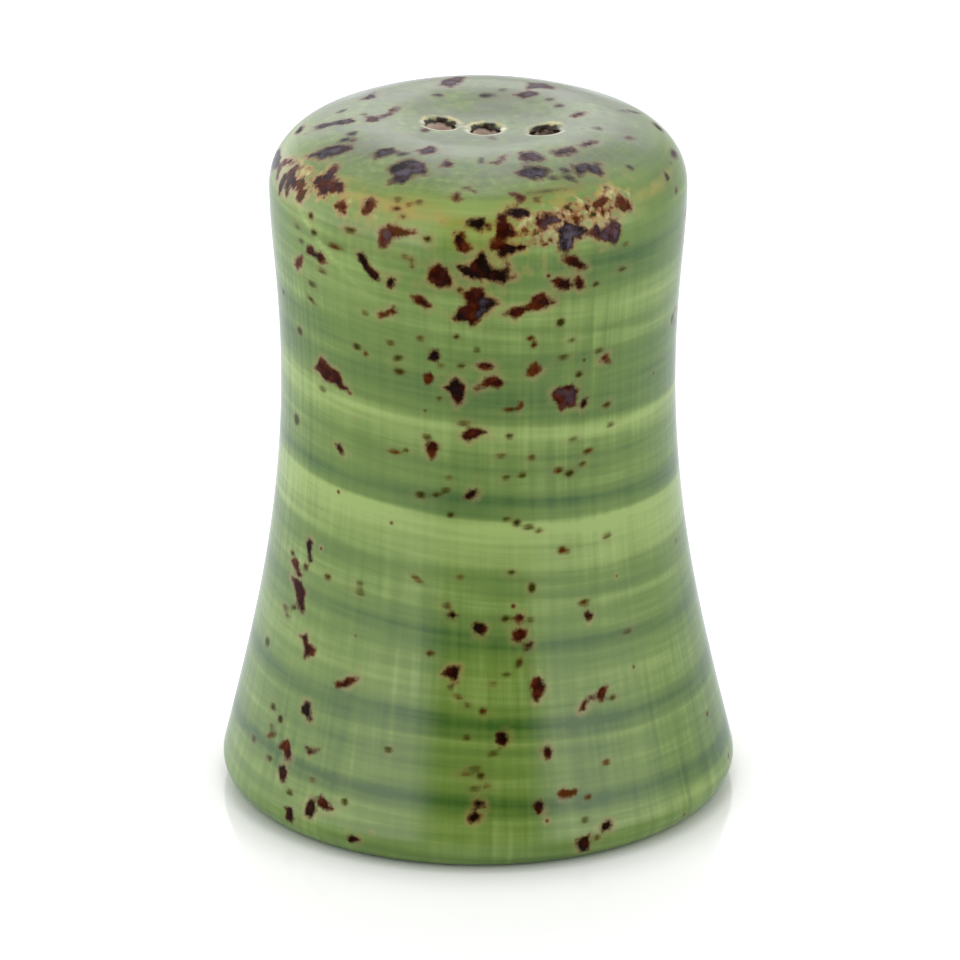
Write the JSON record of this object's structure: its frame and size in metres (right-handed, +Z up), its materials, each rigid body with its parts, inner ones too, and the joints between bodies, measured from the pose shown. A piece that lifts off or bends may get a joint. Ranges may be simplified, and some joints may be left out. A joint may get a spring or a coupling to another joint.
{
  "type": "spice shaker",
  "caption": "Waisted, glazed porcelain spice shaker with pour holes in its domed top and a soft stopper in its base.",
  "frame": {"origin": "centre of the foot ring, on the surface that the shaker stands on", "axes": "+Z up along the shaker's axis; +X to the right and -Y towards the viewer, so that the row of pour holes runs about along X"},
  "size_m": [0.051, 0.051, 0.0693],
  "materials": {
    "glazed_porcelain": "glossy hand-banded green glaze with dark red-brown flecks, white inside, unglazed foot ring",
    "silicone": "satin, milky, slightly translucent"
  },
  "bodies": {
    "body": {"shaker_body": "glazed_porcelain"},
    "stopper": {"base_stopper": "silicone"}
  },
  "joints": [
    {"name": "stopper_pull", "type": "slide", "parent": "body", "child": "stopper", "axis": [0, 0, -1], "range_m": [0, 0.02]}
  ]
}
